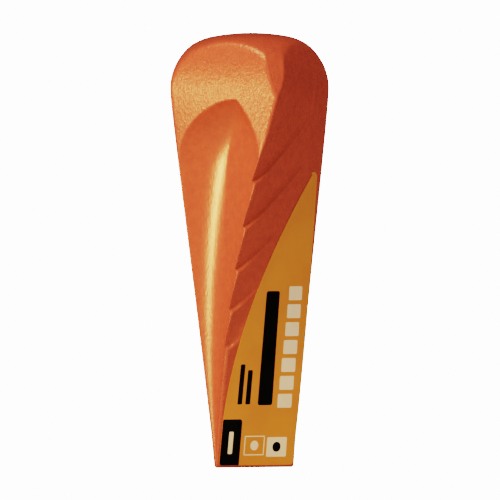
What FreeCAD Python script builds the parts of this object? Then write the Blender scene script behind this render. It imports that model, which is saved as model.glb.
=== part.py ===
import FreeCAD, Part
import math
import os

# A twisted splitting wedge: one drop-forged steel body and one printed film label.
# The cutting edge lies along X with its middle at the origin, and +Z runs up to the
# striking head. Going up, the section turns anticlockwise as seen from above.
# Lengths are in millimetres and angles in degrees.

# Overall sizes
LENGTH = 223.5          # cutting edge to the top of the crown
HEAD_SIZE = 62.8        # across the flats of the square head, at the shoulder
HEAD_HEIGHT = 29.5      # shoulder to the top of the crown
TWIST = 30.4            # turn of the section from the edge to the shoulder
TWIST_GROWTH = 1.53     # 1 for an even twist, more for one that quickens upwards
SHOULDER_Z = LENGTH - HEAD_HEIGHT

# Taper
EDGE_WIDTH = 48.4       # length of the cutting edge
EDGE_THICKNESS = 2.4    # blunt thickness of the cutting edge
EDGE_BEVEL = 0.45       # bevel along the rim of the cutting edge
CORNER_RADIUS = 2.6     # long corner ridges
CORNER_SHARE = 0.28     # the most of the thickness that a corner ridge may take
TAPER_SECTIONS = 7      # sections that the skin is drawn over

# Head
HEAD_DRAFT = 3.5        # inward lean of the four sides above the shoulder
CROWN_RADIUS = 106.0    # dome of the striking face
RIM_RADIUS = 31.0       # round between the dome and the corners
CORNER_CUT = 0.4        # how deep the turned rim cuts the square's sharp corners at the shoulder
CORNER_LEAN = 5.5       # inward lean of the four corners
FACET_TO_SHOULDER = 8.5     # foot of the flat on each barbed corner, below the shoulder
FACET_LEAN = 16.5           # inward lean of that flat
RIM_FILLET = 3.0        # edge between the crown and the four sides

# Flutes, one in each narrow side
FLUTE_TO_SHOULDER = 5.0     # the flute's pointed top to the shoulder
FLUTE_RUNOUT = 34.0         # height of the pointed arch at the top of a flute
FLUTE_DEPTH_SHARE = 0.2     # depth over the thickness of the wedge there
FLUTE_VALLEY_SHARE = 0.02   # side shift of the valley over that thickness
FLUTE_POINT_SHIFT = -6.7    # side shift of the arch's point
FLUTE_CREASE = 0.25         # 0 for a round valley, 1 for a straight V
FLUTE_LAND = 0.9            # left beside each corner ridge
FLUTE_OVERSHOOT = 1.25      # how far the tool's walls run on past the skin
ARCH_STEPS = (0.05, 0.2, 0.45, 0.72, 1.0)   # tool sections down the arch

# Barbs along two opposite ridges
BARB_COUNT = 5
BARB_PITCH = 23.4           # between the two highest barbs
BARB_CLOSING = 0.94         # each gap over the gap above it
BARB_TO_SHOULDER = 46.9     # foot of the highest barb to the shoulder
BARB_DEPTH = 1.9            # step at the ridge
BARB_RISE = 38.0            # climb of each groove over the wide side
BARB_LONGEST = 37.0         # how far over the wide side a groove may run

# Label, as seen straight on from the front
LABEL_FILM = 0.25
LABEL_MARGIN = 1.2          # film to the cutting edge, and to the ridges there
LABEL_TO_SHOULDER = 39.0    # where its long sides would meet, to the shoulder
LABEL_LEAN = 3.3            # slope of the straight side
LABEL_BEND_Z = 24.0         # where the curved side leaves the ridge
LABEL_BELLY = 12.6          # how far the curved side bows out from a straight line
LABEL_TIP_RADIUS = 1.9
LABEL_CORNER_RADIUS = 1.4

OUTSIDE = 6.0               # how far the cutting tools reach past the skin

AXIS_FOOT = FreeCAD.Vector(0, 0, 0)
AXIS = FreeCAD.Vector(0, 0, 1)


def height_share(z):
    """0 at the cutting edge, 1 at the shoulder and above."""
    return min(z / SHOULDER_Z, 1.0)


def thickness_at(z):
    return EDGE_THICKNESS + (HEAD_SIZE - EDGE_THICKNESS) * height_share(z)


def width_at(z):
    return EDGE_WIDTH + (HEAD_SIZE - EDGE_WIDTH) * height_share(z)


def place(u, v, z):
    """A point of the section at height z: u along its width, v along its thickness."""
    angle = math.radians(TWIST * height_share(z) ** TWIST_GROWTH)
    x = u * math.cos(angle) - v * math.sin(angle)
    y = u * math.sin(angle) + v * math.cos(angle)
    return FreeCAD.Vector(x, y, z)


def line(a, b):
    return Part.LineSegment(a, b).toShape()


def arc(a, middle, b):
    return Part.Arc(a, middle, b).toShape()


def opposite(shape):
    """The same shape half a turn round the wedge's axis."""
    turned = shape.copy()
    turned.rotate(AXIS_FOOT, AXIS, 180.0)
    return turned


def taper_heights():
    step = (SHOULDER_Z - EDGE_BEVEL) / (TAPER_SECTIONS - 1)
    return [EDGE_BEVEL + step * i for i in range(TAPER_SECTIONS)]


def body_section(z, inset=0.0):
    """A rectangle with rounded corners, turned by the twist."""
    radius = min(CORNER_RADIUS, CORNER_SHARE * thickness_at(z))
    drawn_in = inset + max(z - SHOULDER_Z, 0.0) * math.tan(math.radians(HEAD_DRAFT))
    reach_u = width_at(z) / 2.0 - radius - drawn_in
    reach_v = thickness_at(z) / 2.0 - radius - drawn_in
    corners = []
    for index, (side_u, side_v) in enumerate(((1, -1), (1, 1), (-1, 1), (-1, -1))):
        points = []
        for degrees in (-90.0, -45.0, 0.0):
            angle = math.radians(90.0 * index + degrees)
            u = side_u * reach_u + radius * math.cos(angle)
            v = side_v * reach_v + radius * math.sin(angle)
            points.append(place(u, v, z))
        corners.append(points)
    edges = []
    for index, points in enumerate(corners):
        following = corners[(index + 1) % len(corners)]
        edges.append(arc(*points))
        edges.append(line(points[-1], following[0]))
    return Part.Wire(edges)


def taper():
    """The long twisted part on its bevelled cutting edge."""
    solid = Part.makeLoft([body_section(z) for z in taper_heights()], True, False)
    foot = [body_section(0.0, EDGE_BEVEL), body_section(EDGE_BEVEL)]
    return solid.fuse(Part.makeLoft(foot, True, True))


def square_block():
    """The head before its corners and its crown are shaped."""
    return Part.makeLoft([body_section(SHOULDER_Z), body_section(LENGTH)], True, True)


def crown_envelope():
    """A turned shape: the dome, its rim, and the cone that takes the four corners off."""
    lean = math.radians(CORNER_LEAN)
    dome_z = LENGTH - CROWN_RADIUS
    shoulder_x = HEAD_SIZE / math.sqrt(2.0) - CORNER_CUT
    # The rim's centre lies RIM_RADIUS inside both the dome and the leaning line
    inside = shoulder_x * math.cos(lean) + (SHOULDER_Z - dome_z) * math.sin(lean) - RIM_RADIUS
    between = CROWN_RADIUS - RIM_RADIUS
    dome_slope = math.asin(inside / between) - lean
    rim_x = between * math.sin(dome_slope)
    rim_z = dome_z + between * math.cos(dome_slope)
    flat_slope = math.pi / 2.0 - lean

    def on_dome(slope):
        x = CROWN_RADIUS * math.sin(slope)
        return FreeCAD.Vector(x, 0, dome_z + CROWN_RADIUS * math.cos(slope))

    def on_rim(slope):
        x = rim_x + RIM_RADIUS * math.sin(slope)
        return FreeCAD.Vector(x, 0, rim_z + RIM_RADIUS * math.cos(slope))

    flat_top = on_rim(flat_slope)
    foot_x = flat_top.x + (flat_top.z + OUTSIDE) * math.tan(lean)
    flat_foot = FreeCAD.Vector(foot_x, 0, -OUTSIDE)
    foot = AXIS * -OUTSIDE
    outline = Part.Wire([
        arc(on_dome(0.0), on_dome(dome_slope / 2.0), on_dome(dome_slope)),
        arc(on_rim(dome_slope), on_rim((dome_slope + flat_slope) / 2.0), flat_top),
        line(flat_top, flat_foot),
        line(flat_foot, foot),
        line(foot, on_dome(0.0)),
    ])
    return Part.Face(outline).revolve(AXIS_FOOT, AXIS, 360.0)


def head(envelope):
    """The shaped head, with the edges between its crown and its four upright sides rounded."""
    solid = square_block().common(envelope)
    rims = []
    for edge in solid.Edges:
        middle = edge.valueAt((edge.FirstParameter + edge.LastParameter) / 2.0)
        drawn_in = (middle.z - SHOULDER_Z) * math.tan(math.radians(HEAD_DRAFT))
        off_flat = abs(math.hypot(middle.x, middle.y) - HEAD_SIZE / 2.0 + drawn_in)
        if middle.z > SHOULDER_Z + RIM_FILLET and off_flat < RIM_FILLET / 4.0:
            rims.append(edge)
    return solid.makeFillet(RIM_FILLET, rims)


def facet_tool():
    """A block whose near face lies on the flat of one barbed corner."""
    lean = math.radians(FACET_LEAN)
    half = HEAD_SIZE / 2.0
    foot = place(-half, -half, SHOULDER_Z - FACET_TO_SHOULDER)
    outward = FreeCAD.Vector(foot.x, foot.y, 0).normalize()
    sideways = AXIS.cross(outward)
    facing = outward * math.cos(lean) + AXIS * math.sin(lean)
    upward = AXIS * math.cos(lean) - outward * math.sin(lean)
    near = [
        foot + sideways * (side * HEAD_SIZE / 2.0) + upward * (rise * HEAD_SIZE)
        for side, rise in ((-1, -0.5), (1, -0.5), (1, 1), (-1, 1))
    ]
    return Part.Face(Part.makePolygon(near + near[:1])).extrude(facing * HEAD_SIZE)


def flute_section(z):
    """The tool's outline in one narrow side: two shallow arcs that meet in a soft crease."""
    thickness = thickness_at(z)
    down = min((SHOULDER_Z - FLUTE_TO_SHOULDER - z) / FLUTE_RUNOUT, 1.0)
    opening = {1: math.sqrt(1.0 - (1.0 - down) ** 2), -1: 1.0 - (1.0 - down) ** 1.5}
    settled = FLUTE_VALLEY_SHARE * thickness
    valley = settled + (FLUTE_POINT_SHIFT - settled) * (1.0 - down) ** 1.6
    depth = FLUTE_DEPTH_SHARE * thickness * opening[1]
    skin = -width_at(z) / 2.0

    def wall(side, out):
        """A point of one wall: out is 0 in the valley and 1 at the skin."""
        full = thickness / 2.0 - FLUTE_LAND - side * settled
        fall = FLUTE_CREASE * out + (1.0 - FLUTE_CREASE) * out * out
        return place(skin + depth * (1.0 - fall), valley + side * out * opening[side] * full, z)

    low = wall(-1, FLUTE_OVERSHOOT)
    high = wall(1, FLUTE_OVERSHOOT)
    bottom = wall(1, 0.0)
    return Part.Wire([
        arc(low, wall(-1, FLUTE_OVERSHOOT / 2.0), bottom),
        arc(bottom, wall(1, FLUTE_OVERSHOOT / 2.0), high),
        line(high, low),
    ])


def flute_tool():
    point_z = SHOULDER_Z - FLUTE_TO_SHOULDER
    arch_foot = point_z - FLUTE_RUNOUT
    heights = [point_z - FLUTE_RUNOUT * step for step in ARCH_STEPS]
    heights += [arch_foot * share for share in (0.75, 0.5, 0.25, 0.0)]
    return Part.makeLoft([flute_section(z) for z in heights], True, False)


def label_curve():
    """Lower end, upper end and middle of the label's curved side, then its centre and radius."""
    lean = math.tan(math.radians(LABEL_LEAN))
    top_z = SHOULDER_Z - LABEL_TO_SHOULDER
    foot_x = EDGE_WIDTH / 2.0 - LABEL_MARGIN
    low = (-foot_x, LABEL_BEND_Z)
    high = (foot_x + top_z * lean, top_z)
    chord = math.dist(low, high)
    out = (-(high[1] - low[1]) / chord, (high[0] - low[0]) / chord)
    radius = (chord * chord / 4.0 + LABEL_BELLY * LABEL_BELLY) / (2.0 * LABEL_BELLY)
    middle = [(low[i] + high[i]) / 2.0 + out[i] * LABEL_BELLY for i in (0, 1)]
    centre = [middle[i] - out[i] * radius for i in (0, 1)]
    return low, high, middle, centre, radius


def groove_length(foot_z):
    """How far over the wide side a groove runs before it meets the label's curved side."""
    _, high, _, centre, radius = label_curve()
    rise = math.tan(math.radians(BARB_RISE))
    clear, blocked = 0.0, BARB_LONGEST
    for _ in range(30):
        trial = (clear + blocked) / 2.0
        z = foot_z + trial * rise
        x = place(trial - width_at(z) / 2.0, -thickness_at(z) / 2.0, z).x
        if z < high[1] and math.hypot(x - centre[0], z - centre[1]) < radius:
            blocked = trial
        else:
            clear = trial
    return clear


def barb_tool(foot_z, gap):
    """One groove: a steep step that faces the head, under a ramp as high as the gap above."""
    rise = math.tan(math.radians(BARB_RISE))
    length = groove_length(foot_z)

    def triangle(along):
        depth = BARB_DEPTH * (1.0 - along / length)
        u = along - width_at(foot_z) / 2.0
        z = foot_z + along * rise
        top = z + gap
        base = place(u, depth - thickness_at(z) / 2.0, z)
        ramp = place(u, -thickness_at(top) / 2.0, top)
        outer = place(u, -thickness_at(z) / 2.0 - OUTSIDE, z)
        return Part.Wire([line(base, ramp), line(ramp, outer), line(outer, base)])

    return Part.makeLoft([triangle(-OUTSIDE), triangle(length / 2.0), triangle(length)], True, True)


def wedge_body():
    envelope = crown_envelope()
    solid = taper().common(envelope).fuse(head(envelope))
    tools = [facet_tool(), flute_tool()]
    foot_z = SHOULDER_Z - BARB_TO_SHOULDER
    gap = BARB_PITCH
    for _ in range(BARB_COUNT):
        tools.append(barb_tool(foot_z, gap))
        foot_z -= gap
        gap *= BARB_CLOSING
    for tool in tools:
        solid = solid.cut(tool).cut(opposite(tool))
    return solid


def film_section(z):
    """A thin strip along the wide front side, a little sunk into it."""
    half = width_at(z) / 2.0
    skin = -thickness_at(z) / 2.0
    outer = skin - LABEL_FILM
    inner = skin + min(LABEL_FILM, EDGE_THICKNESS / 2.0)
    corners = [(-half, outer), (half, outer), (half, inner), (-half, inner), (-half, outer)]
    return Part.makePolygon([place(u, v, z) for u, v in corners])


def label(body):
    """The film: a thin skin over the wide front side, trimmed to the label's outline."""
    film = Part.makeLoft([film_section(z) for z in taper_heights()], True, False)
    low, high, middle, _, _ = label_curve()

    def at(x, z):
        return FreeCAD.Vector(x, 0, z)

    left_foot = at(low[0], LABEL_MARGIN)
    right_foot = at(-low[0], LABEL_MARGIN)
    outline = Part.Wire([
        line(left_foot, at(*low)),
        arc(at(*low), at(*middle), at(*high)),
        line(at(*high), right_foot),
        line(right_foot, left_foot),
    ])
    cutter = Part.Face(outline).extrude(FreeCAD.Vector(0, -HEAD_SIZE, 0))
    for spot, radius in ((at(*high), LABEL_TIP_RADIUS), (left_foot, LABEL_CORNER_RADIUS),
                         (right_foot, LABEL_CORNER_RADIUS)):
        corner = line(spot, spot - FreeCAD.Vector(0, HEAD_SIZE, 0))
        edges = [e for e in cutter.Edges if e.CenterOfMass.isEqual(corner.CenterOfMass, 0.001)]
        cutter = cutter.makeFillet(radius, edges)
    return film.common(cutter).cut(body)


os.makedirs("parts", exist_ok=True)
body = wedge_body()
for name, shape in (("wedge_body", body), ("label", label(body))):
    print(name, len(shape.Solids), "solid,", round(shape.Volume / 1000.0, 2), "cm3,", shape.isValid())
    shape.Solids[0].exportStep(f"parts/{name}.step")
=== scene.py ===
# %% [markdown]
# # A twisted splitting wedge
# A splitting wedge is one lump of forged steel. It is hammered into the end of a log, and
# its twist turns the two halves apart while its barbs stop it from bouncing out again.
# This lesson shapes the forging, wraps its film label round it, paints both, and then
# lights them like a studio piece.

import math

import bpy
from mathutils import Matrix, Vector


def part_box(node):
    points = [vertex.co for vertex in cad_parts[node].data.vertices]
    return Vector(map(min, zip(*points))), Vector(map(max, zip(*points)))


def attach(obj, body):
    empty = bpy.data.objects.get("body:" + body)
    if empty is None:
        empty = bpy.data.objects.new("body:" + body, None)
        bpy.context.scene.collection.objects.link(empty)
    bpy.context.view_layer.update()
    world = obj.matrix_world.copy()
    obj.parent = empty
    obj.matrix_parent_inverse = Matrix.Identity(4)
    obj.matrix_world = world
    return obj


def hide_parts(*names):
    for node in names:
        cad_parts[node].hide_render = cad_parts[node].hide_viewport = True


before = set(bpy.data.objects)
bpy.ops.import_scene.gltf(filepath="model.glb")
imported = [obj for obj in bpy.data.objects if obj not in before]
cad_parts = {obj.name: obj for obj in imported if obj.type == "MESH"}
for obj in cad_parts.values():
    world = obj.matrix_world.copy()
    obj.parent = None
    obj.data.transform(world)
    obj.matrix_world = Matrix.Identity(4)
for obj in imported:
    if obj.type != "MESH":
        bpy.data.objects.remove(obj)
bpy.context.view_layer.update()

# %% [markdown]
# ## Sizes of the forging
# A smith would chalk these on the wall: they are millimetres and degrees. The length comes
# from the frame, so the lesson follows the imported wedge. Everything above the shoulder
# belongs to the striking head, and everything below it tapers to the cutting edge.

# %% Sizes
MM = 0.001
wedge_low, wedge_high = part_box("wedge_body")
LENGTH = (wedge_high.z - wedge_low.z) / MM

SIZES = {
    "Length": LENGTH,
    "Head": 62.8,
    "Head draft": 0.0065,
    "Shoulder": LENGTH - 29.5,
    "Twist": 30.4,
    "Twist growth": 1.53,
    "Edge width": 48.4,
    "Edge thickness": 2.4,
    "Edge round": 1.2,
    "Ridge radius": 1.8,
    "Crown radius": 106.0,
    "Rim radius": 31.0,
    "Corner cut": 0.4,
    "Corner lean": 5.5,
    "Facet foot": LENGTH - 38.0,
    "Facet lean": 16.5,
    "Flute top": LENGTH - 34.5,
    "Flute runout": 34.0,
    "Flute depth": 0.2,
    "Flute valley": 0.02,
    "Flute point": -6.7,
    "Flute crease": 0.25,
    "Flute land": 0.9,
    "Barb pitch": 23.4,
    "Barb closing": 0.94,
    "Barb top": LENGTH - 76.4,
    "Barb longest": 44.0,
    "Barb count": 5.0,
    "Barb depth": 2.6,
    "Barb rise": 38.0,
}
print("the head is", SIZES["Head"], "mm square and the edge", SIZES["Edge width"], "mm long")

# %% [markdown]
# ## Sums with sockets
# Node trees hold the maths of this lesson. A small class wraps an output socket, so that a
# formula can be written as a formula: every plus or times adds one Math node.

# %% The socket wrapper


class Flow:
    """An output socket that can be added, multiplied and compared."""

    def __init__(self, bench, socket):
        self.bench = bench
        self.socket = socket

    def math(self, operation, *others):
        return self.bench.math(operation, self, *others)

    def __add__(self, other):
        return self.math("ADD", other)

    def __radd__(self, other):
        return self.math("ADD", other)

    def __sub__(self, other):
        return self.math("SUBTRACT", other)

    def __rsub__(self, other):
        return self.bench.math("SUBTRACT", other, self)

    def __mul__(self, other):
        return self.math("MULTIPLY", other)

    def __rmul__(self, other):
        return self.math("MULTIPLY", other)

    def __truediv__(self, other):
        return self.math("DIVIDE", other)

    def __pow__(self, other):
        return self.math("POWER", other)

    def __neg__(self):
        return self.math("MULTIPLY", -1.0)

    def __lt__(self, other):
        return self.math("LESS_THAN", other)

    def __gt__(self, other):
        return self.math("GREATER_THAN", other)

    def __abs__(self):
        return self.math("ABSOLUTE")

    def clamp(self, low=0.0, high=1.0):
        return self.math("MAXIMUM", low).math("MINIMUM", high)

    def step(self, low, high):
        """0 below low, 1 above high and an eased ramp between them."""
        share = ((self - low) / (high - low)).clamp()
        return share * share * (3.0 - 2.0 * share)


class Bench:
    """A node tree under construction."""

    def __init__(self, tree):
        self.tree = tree

    def link(self, target, value):
        if isinstance(value, Flow):
            self.tree.links.new(value.socket, target)
        elif value is not None:
            target.default_value = value

    def node(self, kind, settings=None, output=0, **sockets):
        """One node: its settings, then its inputs by name with _ for a space."""
        made = self.tree.nodes.new(kind)
        for name, value in (settings or {}).items():
            setattr(made, name, value)
        for name, value in sockets.items():
            self.link(made.inputs[name.replace("_", " ")], value)
        return Flow(self, made.outputs[output])

    def math(self, operation, *values):
        made = self.tree.nodes.new("ShaderNodeMath")
        made.operation = operation
        for target, value in zip(made.inputs, values):
            self.link(target, value)
        return Flow(self, made.outputs[0])

    def split(self, vector):
        made = self.tree.nodes.new("ShaderNodeSeparateXYZ")
        self.link(made.inputs[0], vector)
        return [Flow(self, socket) for socket in made.outputs]

    def join(self, x, y, z):
        return self.node("ShaderNodeCombineXYZ", X=x, Y=y, Z=z)

    def noise(self, where, scale, detail=2.0, roughness=0.5):
        return self.node("ShaderNodeTexNoise", Vector=where, Scale=scale, Detail=detail, Roughness=roughness)


def radians(flow):
    return flow * (math.pi / 180.0)


def sine(flow):
    return flow.math("SINE")


def cosine(flow):
    return flow.math("COSINE")


def soft_less(a, b, width):
    """The smaller of two lengths, with the corner between them rounded off."""
    return a.math("SMOOTH_MIN", b, width)


print("sums are ready")

# %% [markdown]
# ## The twisted section
# Every slice through the taper is a rectangle that turns as it rises. These helpers give
# its two sides and its turn at any height, for the forging and later for the label, which
# has to lie on the very same skin.

# %% Slices
SHOULDER_BLEND = 0.07


def geometry_tree(name, sizes):
    """An empty shaping tree with one named input for each size."""
    tree = bpy.data.node_groups.new(name, "GeometryNodeTree")
    tree.interface.new_socket("Geometry", in_out="INPUT", socket_type="NodeSocketGeometry")
    tree.interface.new_socket("Geometry", in_out="OUTPUT", socket_type="NodeSocketGeometry")
    for size, value in sizes.items():
        socket = tree.interface.new_socket(size, in_out="INPUT", socket_type="NodeSocketFloat")
        socket.default_value = value
    bench = Bench(tree)
    entry = tree.nodes.new("NodeGroupInput")
    size = {socket.name: Flow(bench, socket) for socket in entry.outputs if socket.name}
    return bench, size


def slice_at(size, z):
    """Half width, half thickness, and the sine and cosine of the turn at height z."""
    share = (z / size["Shoulder"]).math("SMOOTH_MIN", 1.0, SHOULDER_BLEND).math("MAXIMUM", 0.0)
    width = size["Edge width"] + (size["Head"] - size["Edge width"]) * share
    thickness = size["Edge thickness"] + (size["Head"] - size["Edge thickness"]) * share
    above = (z - size["Shoulder"]).math("MAXIMUM", 0.0)
    lean = 2.0 * size["Head draft"] * above * above
    width = width - lean
    thickness = thickness - lean
    turn = radians(size["Twist"] * share ** size["Twist growth"])
    return width / 2.0, thickness / 2.0, sine(turn), cosine(turn)


def finish_tree(bench, geometry, material):
    """The last nodes of every shaping tree: real geometry in its own paint."""
    real = bench.node("GeometryNodeRealizeInstances", Geometry=geometry)
    painted = bench.node("GeometryNodeSetMaterial", Geometry=real, Material=material)
    exit_node = bench.tree.nodes.new("NodeGroupOutput")
    bench.link(exit_node.inputs[0], painted)
    return bench.tree


def press(name, tree, values, blank=None):
    """Runs a shaping tree on a blank mesh and keeps the result as a plain mesh."""
    mesh = blank or bpy.data.meshes.new(name + "_blank")
    maker = bpy.data.objects.new(name + "_maker", mesh)
    bpy.context.scene.collection.objects.link(maker)
    modifier = maker.modifiers.new("shape", "NODES")
    modifier.node_group = tree
    for item in tree.interface.items_tree:
        if item.in_out == "INPUT" and item.name in values:
            modifier[item.identifier] = values[item.name]
    bpy.context.view_layer.update()
    shaped = maker.evaluated_get(bpy.context.evaluated_depsgraph_get())
    made = bpy.data.meshes.new_from_object(shaped)
    made.name = name
    bpy.data.objects.remove(maker)
    piece = bpy.data.objects.new(name, made)
    bpy.context.scene.collection.objects.link(piece)
    print(name, len(made.vertices), "vertices,", len(made.polygons), "faces")
    return piece


# %% [markdown]
# ## Where the label will lie
# The die-cut label has one straight long side and one that bows out like a sail. The barbs
# fade away before they reach it, so both need the same arc.

# %% The label's arc
LABEL_MARGIN = 1.2
LABEL_TOP = SIZES["Shoulder"] - 39.0
LABEL_BEND = 24.0
LABEL_LEAN_ANGLE = math.radians(3.3)
LABEL_LEAN = math.tan(LABEL_LEAN_ANGLE)
LABEL_BELLY = 12.6

label_foot = SIZES["Edge width"] / 2.0 - LABEL_MARGIN
arc_low = (-label_foot, LABEL_BEND)
arc_high = (label_foot + LABEL_TOP * LABEL_LEAN, LABEL_TOP)
arc_chord = math.dist(arc_low, arc_high)
arc_out = (-(arc_high[1] - arc_low[1]) / arc_chord, (arc_high[0] - arc_low[0]) / arc_chord)
ARC_RADIUS = (arc_chord**2 / 4.0 + LABEL_BELLY**2) / (2.0 * LABEL_BELLY)
ARC_X, ARC_Z = [
    (arc_low[i] + arc_high[i]) / 2.0 + arc_out[i] * (LABEL_BELLY - ARC_RADIUS) for i in (0, 1)
]
print("the label's curved side has a radius of", round(ARC_RADIUS), "mm")

# %% [markdown]
# ## Forging the body
# One sheet is wrapped into the whole wedge: across it the sheet runs once round the
# section, and up it the sheet runs from the cutting edge over the shoulder and the rim to
# the middle of the crown. The flutes and barbs are pressed in by taking the smaller of two
# reaches, which is what a die does to hot steel.

# %% The forging tree
WIDE_COLUMNS = 76
NARROW_COLUMNS = 54
ROWS = 382
TINY = 0.0001
RIDGE_SHARE = 0.22
RIDGE_CALM = 0.55
CALM_FROM_RIDGE = (0.5, 4.0)
FLUTE_CLEAR = (0.05, 0.6)
FACET_BLEND = 0.7
CROWN_BLEND = 1.2
CROWN_EXTRA_BLEND = 2.4
CROWN_BLEND_BELOW_TOP = (20.0, 8.0)
MERGE_WITHIN = 0.008


def crown_path(size, along):
    """Height and reach of the turned envelope, a distance along it from the edge."""
    lean = radians(size["Corner lean"])
    dome_z = size["Length"] - size["Crown radius"]
    foot = size["Head"] / math.sqrt(2.0) - size["Corner cut"]
    between = size["Crown radius"] - size["Rim radius"]
    inside = foot * cosine(lean) + (size["Shoulder"] - dome_z) * sine(lean) - size["Rim radius"]
    dome_slope = (inside / between).math("ARCSINE") - lean
    rim_z = dome_z + between * cosine(dome_slope)
    rim_x = between * sine(dome_slope)
    flat_slope = math.pi / 2.0 - lean
    flat_top = rim_z + size["Rim radius"] * cosine(flat_slope)
    flat_reach = rim_x + size["Rim radius"] * sine(flat_slope)
    rim_length = size["Rim radius"] * (flat_slope - dome_slope)
    dome_length = size["Crown radius"] * dome_slope
    distance = along * (flat_top + rim_length + dome_length)

    up = distance.math("MINIMUM", flat_top)
    past_flat = (distance - flat_top).math("MAXIMUM", 0.0).math("MINIMUM", rim_length)
    past_rim = (distance - flat_top - rim_length).math("MAXIMUM", 0.0)
    on_rim = flat_slope - past_flat / size["Rim radius"]
    on_dome = dome_slope - past_rim / size["Crown radius"]
    z = up + size["Rim radius"] * (cosine(on_rim) - cosine(flat_slope))
    z = z + size["Crown radius"] * (cosine(on_dome) - cosine(dome_slope))
    reach = flat_reach + (flat_top - up) * sine(lean) / cosine(lean)
    reach = reach + size["Rim radius"] * (sine(on_rim) - sine(flat_slope))
    reach = reach + size["Crown radius"] * (sine(on_dome) - sine(dome_slope))
    return z, reach.math("MAXIMUM", 0.0)


def uneven_lap(around):
    """0 to 4 round the section, one for each side, with more columns on the wide sides."""
    halves = (around * 2.0).math("MINIMUM", 1.9999)
    in_half = halves.math("FRACT")
    wide = WIDE_COLUMNS / (WIDE_COLUMNS + NARROW_COLUMNS)
    on_wide = (in_half / wide).math("MINIMUM", 1.0)
    on_narrow = ((in_half - wide) / (1.0 - wide)).math("MAXIMUM", 0.0)
    return 2.0 * halves.math("FLOOR") + on_wide + on_narrow


def rounded_section(half_u, half_v, radius, lap):
    """The point of a rounded rectangle at a lap round it."""
    side_u = (2.0 - 2.0 * abs(lap - 1.5)).clamp(-1.0, 1.0)
    shifted = (lap + 3.0).math("MODULO", 4.0)
    side_v = (2.0 - 2.0 * abs(shifted - 1.5)).clamp(-1.0, 1.0)
    raw_u = side_u * half_u
    raw_v = side_v * half_v
    core_u = raw_u.math("MINIMUM", half_u - radius).math("MAXIMUM", radius - half_u)
    core_v = raw_v.math("MINIMUM", half_v - radius).math("MAXIMUM", radius - half_v)
    off_u = raw_u - core_u
    off_v = raw_v - core_v
    scale = radius / (off_u * off_u + off_v * off_v + 1e-9).math("SQRT")
    return core_u + off_u * scale, core_v + off_v * scale


FLUTE_NARROWING = 1.5
FLUTE_DRIFT = 1.6


def flute_depth(size, half_v, across, z):
    """How deep the flute is at a place across the narrow side."""
    thickness = half_v * 2.0
    down = ((size["Flute top"] - z) / size["Flute runout"]).clamp()
    wide = (1.0 - (1.0 - down) * (1.0 - down)).math("SQRT")
    narrow = 1.0 - (1.0 - down) ** FLUTE_NARROWING
    settled = size["Flute valley"] * thickness
    valley = settled + (size["Flute point"] - settled) * (1.0 - down) ** FLUTE_DRIFT
    off = across - valley
    high_side = off > 0.0
    full_high = half_v - size["Flute land"] - settled
    full_low = half_v - size["Flute land"] + settled
    reach = high_side * wide * full_high + (1.0 - high_side) * narrow * full_low + 0.001
    out = abs(off) / reach
    fall = size["Flute crease"] * out + (1.0 - size["Flute crease"]) * out * out
    depth = size["Flute depth"] * thickness * wide
    return (depth * (1.0 - fall)).math("MAXIMUM", 0.0)


BARB_STEP = 0.05
BARB_HOOK = 3.0
BARB_SWEEP = 1.08
BARB_FADE = 0.6


def barb_depth(size, from_ridge, x, z):
    """How deep a groove is, at a distance over the wide side from its ridge."""
    rise = sine(radians(size["Barb rise"])) / cosine(radians(size["Barb rise"]))
    climb = ((from_ridge * from_ridge + BARB_HOOK**2).math("SQRT") - BARB_HOOK) * rise * BARB_SWEEP
    fallen = (size["Barb top"] - z + climb) * (1.0 - size["Barb closing"]) / size["Barb pitch"]
    gaps = (1.0 - fallen).math("MAXIMUM", 0.01).math("LOGARITHM", size["Barb closing"])
    lap = size["Barb count"] - 1.0 - gaps + BARB_STEP
    inside = (lap > 0.0) * (lap < size["Barb count"])
    tooth = lap.math("FRACT")
    ramp = (tooth / BARB_STEP).math("MINIMUM", (1.0 - tooth) / (1.0 - BARB_STEP))
    off_arc = ((x - ARC_X) ** 2.0 + (z - ARC_Z) ** 2.0).math("SQRT") - ARC_RADIUS
    room = off_arc.math("MINIMUM", size["Barb longest"] - from_ridge).math("MAXIMUM", 0.0)
    fade = (room / (from_ridge.math("MAXIMUM", 0.0) + room + 0.001)) ** BARB_FADE
    return size["Barb depth"] * ramp * inside * fade


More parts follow.
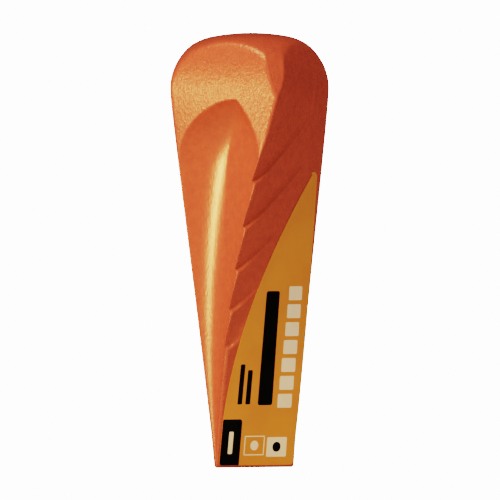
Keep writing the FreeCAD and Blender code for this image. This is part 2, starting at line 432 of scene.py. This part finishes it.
def forging_tree(material):
    bench, size = geometry_tree("forging", SIZES)
    sheet = bench.node(
        "GeometryNodeMeshGrid",
        Size_X=1.0,
        Size_Y=1.0,
        Vertices_X=2 * (WIDE_COLUMNS + NARROW_COLUMNS) + 1,
        Vertices_Y=ROWS + 1,
    )
    flat_x, flat_y, _ = bench.split(bench.node("GeometryNodeInputPosition"))
    around = (flat_x + 0.5).clamp()
    upward = (flat_y + 0.5).clamp()

    z, envelope = crown_path(size, upward)
    half_u, half_v, turn_sine, turn_cosine = slice_at(size, z)
    radius = size["Ridge radius"].math("MINIMUM", RIDGE_SHARE * 2.0 * half_v)
    u, v = rounded_section(half_u, half_v, radius, uneven_lap(around))

    edge_share = (z / size["Edge round"]).clamp()
    v = v * (1.0 - (1.0 - edge_share) ** 2.0).math("SQRT")

    rough_skin = 1.0 - RIDGE_CALM * (half_u - abs(u)).step(*CALM_FROM_RIDGE)
    side = v.math("SIGN")
    across = -(u.math("SIGN")) * v
    flute = flute_depth(size, half_v, across, z)
    fluted = abs(u).math("MINIMUM", half_u - flute)
    from_ridge = half_u - side * u
    x_front = -(side) * (fluted * u.math("SIGN")) * turn_cosine + half_v * turn_sine
    barb = barb_depth(size, from_ridge, x_front, z)
    barbed = abs(v).math("MINIMUM", half_v - barb)
    u = fluted * u.math("SIGN")
    v = barbed * side

    facet_lean = radians(size["Facet lean"])
    drawn_in = (z - size["Facet foot"]) * sine(facet_lean) / cosine(facet_lean)
    facet = size["Head"] / math.sqrt(2.0) - drawn_in
    diagonal = abs(u + v) / math.sqrt(2.0) + TINY
    planed = soft_less(diagonal, facet, FACET_BLEND) / diagonal
    u = u * planed
    v = v * planed

    out = (u * u + v * v).math("SQRT")
    blend_low, blend_high = [LENGTH - below for below in CROWN_BLEND_BELOW_TOP]
    soft = CROWN_BLEND + CROWN_EXTRA_BLEND * z.step(blend_low, blend_high)
    shrink = (soft_less(out, envelope, soft) / (out + TINY)).clamp()
    u = u * shrink
    v = v * shrink

    x = u * turn_cosine - v * turn_sine
    y = u * turn_sine + v * turn_cosine
    worn = bench.node(
        "GeometryNodeStoreNamedAttribute",
        {"data_type": "FLOAT", "domain": "POINT"},
        Geometry=sheet,
        Name="forged",
        Value=rough_skin * (1.0 - flute.step(*FLUTE_CLEAR)),
    )
    place = bench.join(x * MM, y * MM, z * MM)
    skin = bench.node("GeometryNodeSetPosition", Geometry=worn, Position=place)
    closed = bench.node("GeometryNodeMergeByDistance", Geometry=skin, Distance=MERGE_WITHIN * MM)
    smooth = bench.node("GeometryNodeSetShadeSmooth", Geometry=closed, Shade_Smooth=True)
    return finish_tree(bench, smooth, material)


# %% [markdown]
# ## Powder coat on forged steel
# The wedge is blasted, sprayed with orange powder and baked. The coat is thin, so the rough
# skin of the forging still shows through it as small pits and pebbles, while the flutes
# were wiped smooth by the die. A "forged" value painted on the mesh tells the two apart.

# %% Paint


def shader(name):
    """An empty shader tree with its surface node."""
    material = bpy.data.materials.new(name)
    material.use_nodes = True
    bench = Bench(material.node_tree)
    surface = material.node_tree.nodes["Principled BSDF"]
    return material, bench, surface


def blend_colours(bench, share, first, second):
    """A colour between two others."""
    made = bench.tree.nodes.new("ShaderNodeMix")
    made.data_type = "RGBA"
    bench.link(made.inputs["Factor"], share)
    bench.link(made.inputs["A"], first)
    bench.link(made.inputs["B"], second)
    return Flow(bench, made.outputs["Result"])


def in_millimetres(bench):
    """The piece's own coordinates, in millimetres."""
    made = bench.tree.nodes.new("ShaderNodeTexCoord")
    scaled = bench.tree.nodes.new("ShaderNodeVectorMath")
    scaled.operation = "MULTIPLY"
    bench.link(scaled.inputs[0], Flow(bench, made.outputs["Object"]))
    scaled.inputs[1].default_value = (1.0 / MM,) * 3
    return Flow(bench, scaled.outputs[0])


# ORANGE_DEEP is the darker orange of the random mottle, and also of the painted shade in the pebble hollows.
ORANGE = (0.40, 0.070, 0.036, 1.0)
ORANGE_DEEP = (0.36, 0.060, 0.034, 1.0)
WARM_GLOSS = (1.0, 0.90, 0.50, 1.0)


def mix_powder_coat():
    material, bench, surface = shader("powder_coat")
    place = in_millimetres(bench)
    x, y, z = bench.split(place)
    stretched = bench.join(x, y, z * 0.7)
    forged = bench.node("ShaderNodeAttribute", {"attribute_name": "forged"}, output=2)
    pebbles = bench.noise(stretched, 0.7, 3.0, 0.65)
    pits = bench.noise(stretched, 1.5, 2.0, 0.5)
    swell = bench.noise(place, 0.09, 2.0, 0.5)
    height = (pebbles * 0.75 + pits * 0.25) * (0.25 + 0.75 * forged) + swell * 0.10
    bump = bench.node("ShaderNodeBump", Strength=1.0, Distance=0.40 * MM, Height=height)
    # Partly painted shade: the orange turns deeper where the pebble bump is low, so its hollows look shaded.
    # The rest of the mottle is random tone from a broad noise.
    mottle_and_pit_shade = (bench.noise(place, 0.25, 3.0, 0.6) * 0.7 + pebbles * 0.3).step(0.35, 0.65)
    bench.link(surface.inputs["Base Color"], blend_colours(bench, mottle_and_pit_shade, ORANGE_DEEP, ORANGE))
    bench.link(surface.inputs["Roughness"], 0.20 + 0.05 * forged + 0.06 * pits)
    bench.link(surface.inputs["Normal"], bump)
    surface.inputs["Specular IOR Level"].default_value = 0.5
    surface.inputs["Specular Tint"].default_value = WARM_GLOSS
    return material


powder_coat = mix_powder_coat()
wedge = press("wedge_forging", forging_tree(powder_coat), SIZES)
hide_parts("wedge_body")
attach(wedge, "root")

# %% [markdown]
# ## Cutting the label and its print
# The label is die-cut flat and then pressed on to the twisted side. The lesson does the
# same: each film or patch of ink is cut as a flat slab, seen straight on from the front,
# and one wrapping tree lays all of them on the skin.

# %% Flat slabs
ACROSS = 36


def eased_rows(low, high, radius, spacing=2.0):
    """Heights from low to high, closer together in both rounded ends."""
    ends = [radius * (1.0 - math.cos(math.pi / 2.0 * i / 6.0)) for i in range(6)]
    count = max(2, round((high - low - 2.0 * radius) / spacing))
    middle = [low + radius + (high - low - 2.0 * radius) * i / count for i in range(count + 1)]
    return [low + end for end in ends] + middle + [high - end for end in reversed(ends)]


def rounded_inset(z, low, high, radius):
    """How far a side draws in at height z to round both ends of a slab."""
    from_end = min(z - low, high - z)
    if from_end >= radius:
        return 0.0
    return radius - math.sqrt(max(radius**2 - (radius - from_end) ** 2, 0.0))


def cut_slabs(name, slabs):
    """One mesh of thin slabs, each of rows of (height, left, right) with a lift and a film."""
    points, faces = [], []
    for rows, lift, film in slabs:
        first = len(points)
        layer = len(rows) * (ACROSS + 1)
        for level in (lift, lift + film):
            for z, left, right in rows:
                for i in range(ACROSS + 1):
                    points.append(((left + (right - left) * i / ACROSS), level, z))

        def at(level, row, i):
            return first + level * layer + row * (ACROSS + 1) + i

        top = len(rows) - 1
        for row in range(top):
            for i in range(ACROSS):
                faces.append((at(1, row, i), at(1, row, i + 1), at(1, row + 1, i + 1), at(1, row + 1, i)))
                faces.append((at(0, row, i), at(0, row + 1, i), at(0, row + 1, i + 1), at(0, row, i + 1)))
            for i, turn in ((0, 1), (ACROSS, -1)):
                wall = (at(0, row, i), at(1, row, i), at(1, row + 1, i), at(0, row + 1, i))
                faces.append(wall[::turn])
        for i in range(ACROSS):
            for row, turn in ((0, 1), (top, -1)):
                wall = (at(0, row, i), at(0, row, i + 1), at(1, row, i + 1), at(1, row, i))
                faces.append(wall[::turn])
    mesh = bpy.data.meshes.new(name)
    mesh.from_pydata(points, [], faces)
    return mesh


def wrapping_tree(material):
    """Lays flat slabs on the twisted side: x and z stay, and y becomes the lift off the skin."""
    bench, size = geometry_tree("wrapping", SIZES)
    flat = Flow(bench, next(n for n in bench.tree.nodes if n.type == "GROUP_INPUT").outputs["Geometry"])
    x, lift, z = bench.split(bench.node("GeometryNodeInputPosition"))
    _, half_v, turn_sine, turn_cosine = slice_at(size, z)
    v = -(half_v + lift)
    u = (x + v * turn_sine) / turn_cosine
    y = u * turn_sine + v * turn_cosine
    laid = bench.node("GeometryNodeSetPosition", Geometry=flat, Position=bench.join(x * MM, y * MM, z * MM))
    smooth = bench.node("GeometryNodeSetShadeSmooth", Geometry=laid, Shade_Smooth=False)
    return finish_tree(bench, smooth, material)


LABEL_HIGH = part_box("label")[1].z / MM
FILM = 0.25
INK = 0.03
TIP_RADIUS = 3.0
CORNER_RADIUS = 1.6


def label_left(z):
    if z < LABEL_BEND:
        return -label_foot
    return ARC_X - math.sqrt(ARC_RADIUS**2 - (z - ARC_Z) ** 2)


def label_right(z):
    return label_foot + z * LABEL_LEAN


def label_rows():
    """The label's outline: straight on the right, bowed on the left and rounded at its tip."""
    tip_z = LABEL_HIGH - TIP_RADIUS
    tip_x = label_right(tip_z) - TIP_RADIUS / math.cos(LABEL_LEAN_ANGLE)
    leave_z = ARC_Z + (tip_z - ARC_Z) * ARC_RADIUS / (ARC_RADIUS - TIP_RADIUS)
    rows = []
    for z in eased_rows(LABEL_MARGIN, LABEL_HIGH - 0.001, TIP_RADIUS):
        inset = rounded_inset(z, LABEL_MARGIN, 2.0 * LABEL_HIGH, CORNER_RADIUS)
        left, right = label_left(z) + inset, label_right(z) - inset
        tip_half = math.sqrt(max(TIP_RADIUS**2 - (z - tip_z) ** 2, 0.0))
        if z > leave_z:
            left = tip_x - tip_half
        if z > tip_z:
            right = tip_x + tip_half
        rows.append((z, left, right))
    return rows


def block(left, right, low, high, radius=0.6, lift=FILM, film=INK):
    """A rounded patch of ink on the film."""
    rows = []
    for z in eased_rows(low, high, radius, spacing=3.0):
        inset = rounded_inset(z, low, high, radius)
        rows.append((z, left + inset, right - inset))
    return rows, lift, film


# %% [markdown]
# ## Film and inks
# A tool label is a printed plastic film under a clear laminate. The ground is amber, and
# the inks are laid on it as very thin slabs, so that each keeps a crisp edge. The print is
# plain bars, blocks and dots, because this wedge carries no words.

# %% Film and inks


def mix_film(name, colour, deep, roughness, gloss):
    """Printed film: a slightly uneven colour under a smooth laminate."""
    material, bench, surface = shader(name)
    place = in_millimetres(bench)
    cloud = bench.noise(place, 0.05, 2.0, 0.5)
    grain = bench.noise(place, 1.1, 2.0, 0.5)
    bench.link(surface.inputs["Base Color"], blend_colours(bench, cloud.step(0.3, 0.7), deep, colour))
    bench.link(surface.inputs["Roughness"], roughness + 0.06 * grain)
    waves = bench.noise(place, 0.12, 1.0, 0.4) * 0.6 + grain * 0.08
    bump = bench.node("ShaderNodeBump", Strength=0.35, Distance=0.2 * MM, Height=waves)
    bench.link(surface.inputs["Normal"], bump)
    surface.inputs["Specular IOR Level"].default_value = gloss
    surface.inputs["Specular Tint"].default_value = WARM_GLOSS
    return material


amber_film = mix_film("amber_film", (0.54, 0.188, 0.032, 1.0), (0.50, 0.168, 0.030, 1.0), 0.34, 0.3)
black_ink = mix_film("black_ink", (0.004, 0.004, 0.004, 1.0), (0.002, 0.002, 0.002, 1.0), 0.5, 0.1)
cream_ink = mix_film("cream_ink", (0.66, 0.52, 0.36, 1.0), (0.62, 0.48, 0.32, 1.0), 0.45, 0.3)


def lay(name, slabs, material):
    piece = press(name, wrapping_tree(material), SIZES, cut_slabs(name + "_flat", slabs))
    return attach(piece, "root")


label = lay("label_film", [(label_rows(), 0.0, FILM)], amber_film)
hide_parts("label")

PANEL_RIGHT = -10.8
PANEL_TOP = 24.8
panel_rows = []
for z in eased_rows(LABEL_MARGIN, PANEL_TOP, CORNER_RADIUS):
    left_inset = rounded_inset(z, LABEL_MARGIN, 2.0 * PANEL_TOP, CORNER_RADIUS)
    right_inset = rounded_inset(z, -PANEL_TOP, PANEL_TOP, CORNER_RADIUS)
    panel_rows.append((z, label_left(z) + left_inset, PANEL_RIGHT - right_inset))

black_slabs = [(panel_rows, FILM, INK)]
black_slabs += [block(-1.8, 7.4, 32.0, 90.5, 1.2)]
black_slabs += [block(-14.9, -12.0, 32.5, 53.0), block(-9.8, -6.8, 32.5, 50.0)]
black_slabs += [block(9.6, 14.6, 8.0, 13.0, 2.4, FILM + INK)]
lay("label_print_black", black_slabs, black_ink)

BLOCK_COUNT = 7
BLOCK_PITCH = 9.2
BLOCK_DRIFT = 0.54
cream_slabs = []
for i in range(BLOCK_COUNT):
    drift, climb = BLOCK_DRIFT * i, BLOCK_PITCH * i
    cream_slabs += [block(10.8 + drift, 20.0 + drift, 30.5 + climb, 37.7 + climb, 0.8)]
cream_slabs += [block(5.9, 18.4, 5.4, 15.5, 0.8)]
cream_slabs += [block(-8.3, 4.4, 15.7, 16.3, 0.25), block(-8.3, 4.4, 6.2, 6.8, 0.25)]
cream_slabs += [block(-8.3, -7.7, 6.4, 16.1, 0.25), block(3.8, 4.4, 6.4, 16.1, 0.25)]
cream_slabs += [block(-4.4, 0.6, 8.8, 13.8, 2.4)]
cream_slabs += [block(-18.4, -15.6, 7.0, 18.5, 0.6, FILM + INK)]
lay("label_print_cream", cream_slabs, cream_ink)

# %% [markdown]
# ## Studio
# A studio shot of a tall tool is taken from its own height, with a long lens so that its
# sides stay true. An orthographic camera does the same. It is rolled a little, because the
# wedge stands a little off plumb in its frame.

# %% Camera
CAMERA_TURN = math.radians(-35.0)
CAMERA_HEIGHT = math.radians(0.0)
FRAME_WIDTH = 0.2570
CAMERA_DISTANCE = 1.5
AIM = (-0.0009, 0.0, 0.1118)
CAMERA_ROLL = math.radians(0.68)

camera = bpy.data.objects.new("camera", bpy.data.cameras.new("camera"))
bpy.context.scene.collection.objects.link(camera)
camera.data.type = "ORTHO"
camera.data.ortho_scale = FRAME_WIDTH
camera.rotation_euler = (math.pi / 2.0 - CAMERA_HEIGHT, CAMERA_ROLL, CAMERA_TURN)
camera.location = (
    AIM[0] + math.sin(CAMERA_TURN) * CAMERA_DISTANCE,
    AIM[1] - math.cos(CAMERA_TURN) * CAMERA_DISTANCE,
    AIM[2] + math.sin(CAMERA_HEIGHT) * CAMERA_DISTANCE,
)
bpy.context.scene.camera = camera
bpy.context.scene.view_settings.view_transform = "Filmic"
bpy.context.scene.view_settings.look = "High Contrast"
bpy.context.scene.view_settings.exposure = 0.0
print("the camera frames", FRAME_WIDTH, "m")

# %% [markdown]
# ## Sweep and sky
# The wedge stands on a plain pale floor. The sky shows white to the camera, gives an even
# fill to the matt side, and is kept almost out of the reflections, so that the gloss of the
# coat shows the windows and not the sky.

# %% Sweep and sky


def mix_plain(name, colour, roughness):
    material, bench, surface = shader(name)
    grain = bench.noise(in_millimetres(bench), 0.02, 2.0, 0.5)
    paler = tuple(min(1.0, part * 1.02) for part in colour[:3]) + (1.0,)
    bench.link(surface.inputs["Base Color"], blend_colours(bench, grain, colour, paler))
    surface.inputs["Roughness"].default_value = roughness
    return material


floor_mesh = bpy.data.meshes.new("floor")
floor_mesh.from_pydata([(-6, -6, 0), (6, -6, 0), (6, 6, 0), (-6, 6, 0)], [], [(0, 1, 2, 3)])
floor_mesh.materials.append(mix_plain("white_floor", (0.93, 0.93, 0.93, 1.0), 0.8))
floor = bpy.data.objects.new("floor", floor_mesh)
bpy.context.scene.collection.objects.link(floor)
floor.visible_glossy = False

studio = bpy.data.worlds.new("studio")
bpy.context.scene.world = studio
studio.use_nodes = True
sky = Bench(studio.node_tree)
background = studio.node_tree.nodes["Background"]
mirrored = sky.node("ShaderNodeLightPath", output="Is Glossy Ray")
seen = sky.node("ShaderNodeLightPath", output="Is Camera Ray")
FILL_COLOUR = (0.96, 0.86, 0.93, 1.0)
SEEN_COLOUR = (1.0, 1.0, 1.0, 1.0)
FILL, LESS_IN_GLOSS, MORE_WHEN_SEEN = 0.54, 0.52, 7.0
sky.link(background.inputs["Color"], blend_colours(sky, seen, FILL_COLOUR, SEEN_COLOUR))
sky.link(background.inputs["Strength"], FILL - LESS_IN_GLOSS * mirrored + MORE_WHEN_SEEN * seen)
print("sweep and sky are up")

# %% [markdown]
# ## Windows
# Three small warm windows stand in for soft boxes. The tall one on the left is mirrored by
# the land below the shoulder and by the flute, the high one warms the head, and the narrow
# one near the front catches the corner ridge.

# %% Lights
WINDOW_AIM = 0.1125


def window(name, turn, height, away, wide, tall, watts, colour):
    """A soft window that looks at the middle of the wedge."""
    lamp = bpy.data.objects.new(name, bpy.data.lights.new(name, "AREA"))
    bpy.context.scene.collection.objects.link(lamp)
    lamp.data.shape = "RECTANGLE"
    lamp.data.size, lamp.data.size_y = wide, tall
    lamp.data.energy = watts
    lamp.data.color = colour
    turn, height = math.radians(turn), math.radians(height)
    lamp.location = (
        math.sin(turn) * math.cos(height) * away,
        -math.cos(turn) * math.cos(height) * away,
        WINDOW_AIM + math.sin(height) * away,
    )
    lamp.rotation_euler = (math.pi / 2.0 - height, 0.0, turn)
    return lamp


window("key_window", -79.0, 5.0, 0.5, 0.04, 0.15, 1.9, (1.0, 0.90, 0.50))
window("side_window", -62.0, 55.0, 1.0, 0.2, 0.2, 8.0, (1.0, 0.84, 0.60))
window("lip_window", -27.0, 12.0, 0.7, 0.03, 0.25, 0.7, (1.0, 0.88, 0.55))
print("three windows are lit")
